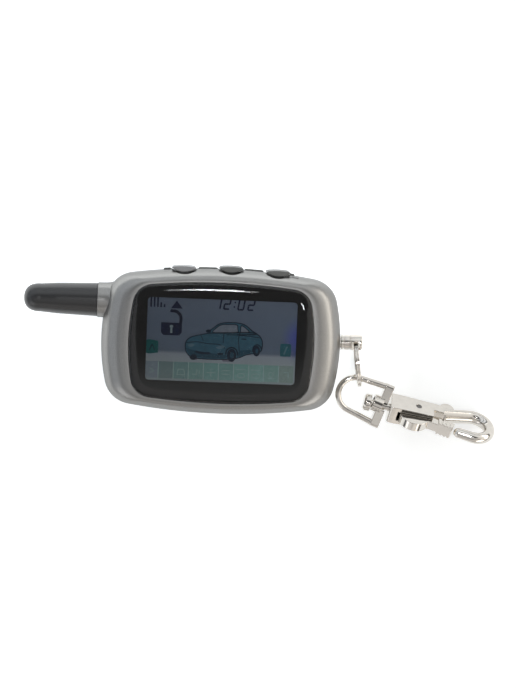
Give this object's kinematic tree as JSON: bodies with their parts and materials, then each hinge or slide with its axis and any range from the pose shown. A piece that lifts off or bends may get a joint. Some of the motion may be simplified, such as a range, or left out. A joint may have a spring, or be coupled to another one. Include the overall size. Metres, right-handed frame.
{
  "type": "car alarm key fob",
  "caption": "Car alarm pager fob in a clamshell case with display window, side buttons, stub antenna, battery door, and a swivel snap hook on its key post.",
  "frame": {"origin": "centre of the flat rear face that the fob lies on", "axes": "+Z the way the display faces, +X from the antenna end to the key post end, +Y towards the side with the buttons"},
  "size_m": [0.1312, 0.0464, 0.0181],
  "materials": {
    "silver_shell": "satin silver paint",
    "clear_window": "polished clear plastic",
    "black_print": "black print",
    "display_glass": "polarised glass",
    "white_plastic": "frosted",
    "contact_rubber": "matte",
    "board_laminate": "lacquered",
    "tinned_steel": "tinned",
    "black_plastic": "moulded",
    "weight_metal": "sintered",
    "cell_jacket": "printed jacket",
    "screw_steel": "zinc plated",
    "antenna_rubber": "matte",
    "antenna_brass": "drawn",
    "button_rubber": "matte",
    "bright_nickel": "nickel plated"
  },
  "bodies": {
    "housing": {"front_cover": "silver_shell", "rear_cover": "silver_shell", "display_window": "clear_window", "window_mask": "black_print", "lcd_front_glass": "display_glass", "lcd_rear_glass": "display_glass", "backlight_diffuser": "white_plastic", "contact_strips": "contact_rubber", "main_board": "board_laminate", "radio_shield": "tinned_steel", "processor_chip": "black_plastic", "crystal_can": "tinned_steel", "buzzer": "black_plastic", "vibration_motor": "tinned_steel", "battery_cell": "cell_jacket", "negative_contact": "tinned_steel", "positive_contact": "tinned_steel", "case_screws": "screw_steel", "antenna_sleeve": "antenna_rubber", "antenna_ferrule": "black_plastic", "antenna_rod": "antenna_brass", "button_web": "button_rubber", "tact_switches": "black_plastic"},
    "battery_door": {"battery_door": "silver_shell"},
    "motor_weight": {"motor_weight": "weight_metal"},
    "button_1": {"button_1": "button_rubber"},
    "button_2": {"button_2": "button_rubber"},
    "button_3": {"button_3": "button_rubber"},
    "key_post": {"key_post": "bright_nickel"},
    "link_ring": {"link_ring": "bright_nickel"},
    "d_ring": {"d_ring": "bright_nickel"},
    "swivel_hook": {"hook_body": "bright_nickel", "lever_pin": "bright_nickel"},
    "hook_lever": {"hook_lever": "bright_nickel"}
  },
  "joints": [
    {"name": "button_1_press", "type": "slide", "parent": "housing", "child": "button_1", "axis": [0, -1, 0], "range_m": [0, 0.0004], "stiffness_N_per_m": 1200, "springref_m": -0.0004},
    {"name": "button_2_press", "type": "slide", "parent": "housing", "child": "button_2", "axis": [0, -1, 0], "range_m": [0, 0.0004], "stiffness_N_per_m": 1200, "springref_m": -0.0004},
    {"name": "button_3_press", "type": "slide", "parent": "housing", "child": "button_3", "axis": [0, -1, 0], "range_m": [0, 0.0004], "stiffness_N_per_m": 1200, "springref_m": -0.0004},
    {"name": "battery_door_slide", "type": "slide", "parent": "housing", "child": "battery_door", "axis": [0, -1, 0], "range_m": [0, 0.0165]},
    {"name": "motor_spin", "type": "hinge", "parent": "housing", "child": "motor_weight", "pos_m": [0.022, 0.00464, 0.0084], "axis": [1, 0, 0], "continuous": true},
    {"name": "post_turn", "type": "hinge", "parent": "housing", "child": "key_post", "pos_m": [0.033, 0.001, 0.009], "axis": [1, 0, 0], "continuous": true},
    {"name": "link_ring_swing", "type": "hinge", "parent": "key_post", "child": "link_ring", "pos_m": [0.037, 0.001, 0.009], "axis": [0, -0.3516, 0.9362], "range_deg": [-4, 74]},
    {"name": "d_ring_swing", "type": "hinge", "parent": "link_ring", "child": "d_ring", "pos_m": [0.03886, -0.01067, 0.00579], "axis": [0, 0, 1], "range_deg": [0, 45]},
    {"name": "hook_swivel", "type": "hinge", "parent": "d_ring", "child": "swivel_hook", "pos_m": [0.04541, -0.01652, 0.00579], "axis": [0.9799, -0.1994, 0], "continuous": true},
    {"name": "lever_press", "type": "hinge", "parent": "swivel_hook", "child": "hook_lever", "pos_m": [0.05524, -0.01836, 0.00554], "axis": [0.1709, 0.84, 0.515], "range_deg": [0, 18], "stiffness_Nm_per_rad": 0.02, "springref_deg": -14.32}
  ]
}
